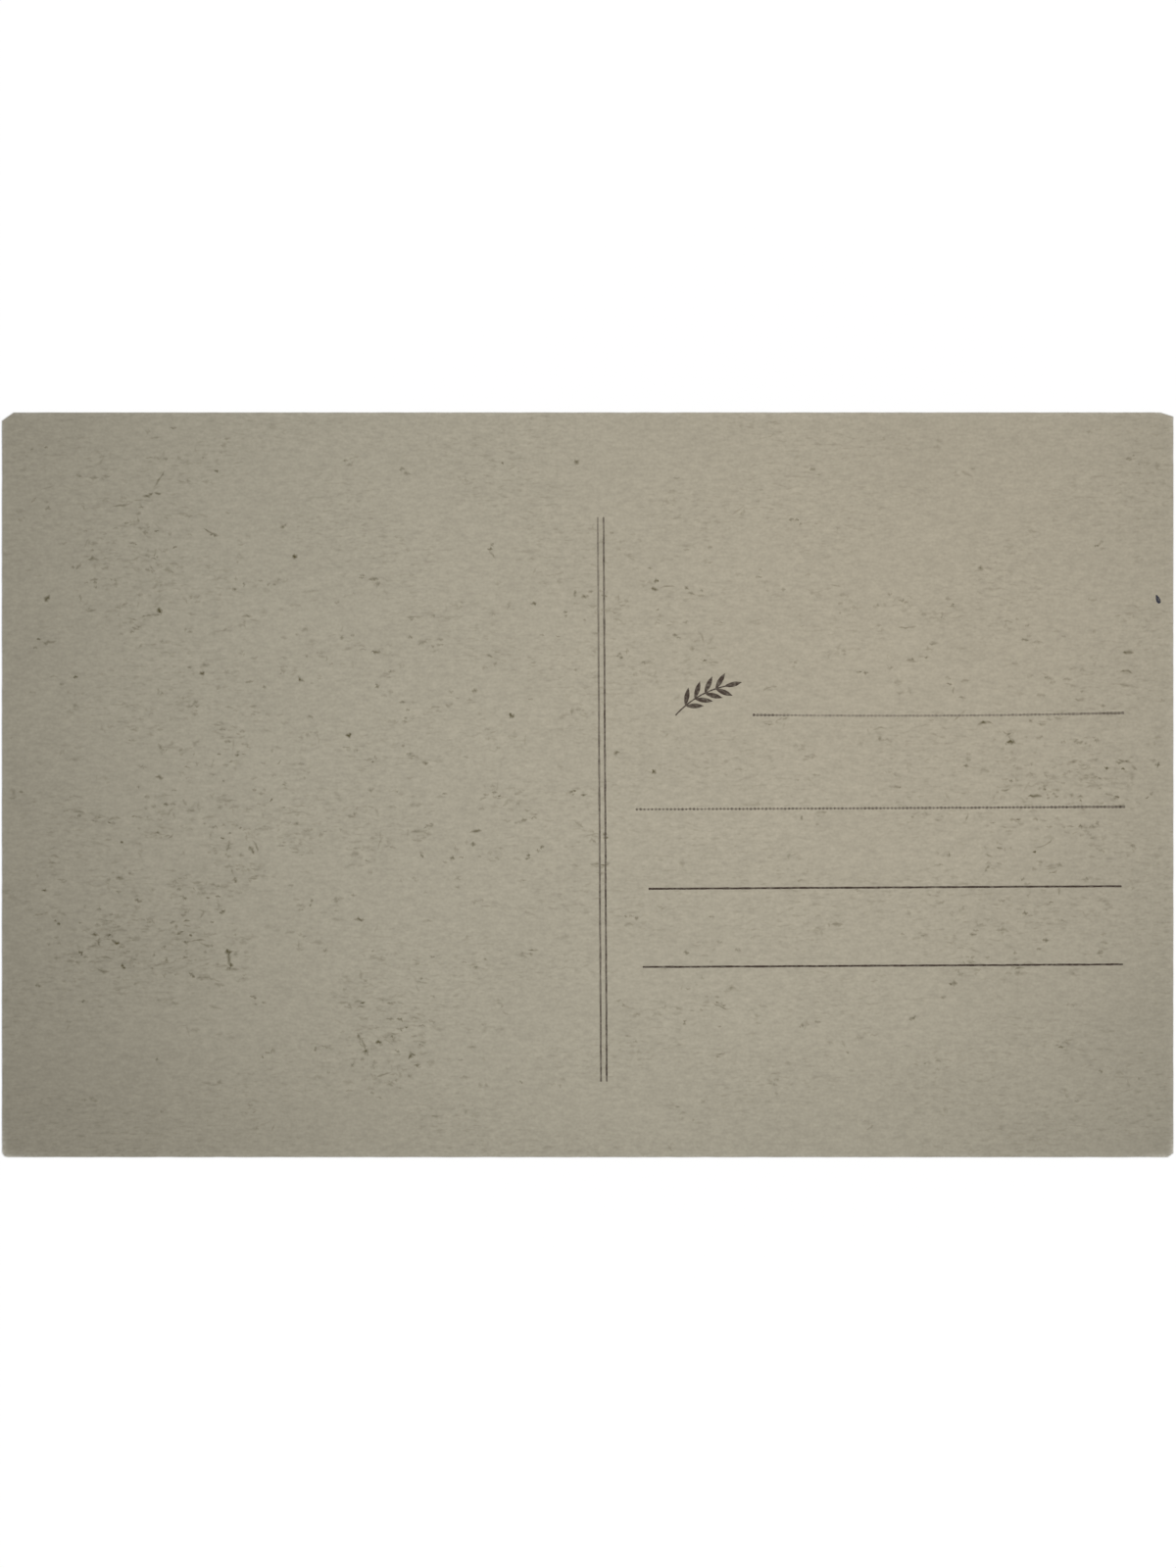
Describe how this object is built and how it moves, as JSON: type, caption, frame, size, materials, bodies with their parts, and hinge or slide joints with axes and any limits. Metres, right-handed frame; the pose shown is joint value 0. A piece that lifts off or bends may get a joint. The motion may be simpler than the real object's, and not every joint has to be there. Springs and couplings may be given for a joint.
{
  "type": "postcard",
  "caption": "Flat pasteboard postcard with worn corners, its address side up: a double divider, dotted and solid address rules, and a bordered picture underneath.",
  "frame": {"origin": "middle of the card's underside, the picture side, which the card lies on", "axes": "+X along the card's length to the right as the address side is read, +Y to its top edge, +Z out of the address side"},
  "size_m": [0.14, 0.089, 0.0004],
  "materials": {
    "address_paper": "matte",
    "core_paper": "matte",
    "picture_paper": "matte",
    "dried_paste": "matte",
    "rule_ink": "matte",
    "picture_ink": "satin"
  },
  "bodies": {
    "root": {"address_ply": "address_paper", "upper_paste_film": "dried_paste", "core_ply": "core_paper", "lower_paste_film": "dried_paste", "picture_ply": "picture_paper", "picture_print": "picture_ink", "divider_rule_left": "rule_ink", "divider_rule_right": "rule_ink", "address_rule_1": "rule_ink", "address_rule_2": "rule_ink", "address_rule_3": "rule_ink", "address_rule_4": "rule_ink", "sprig_ornament": "rule_ink"}
  },
  "joints": []
}
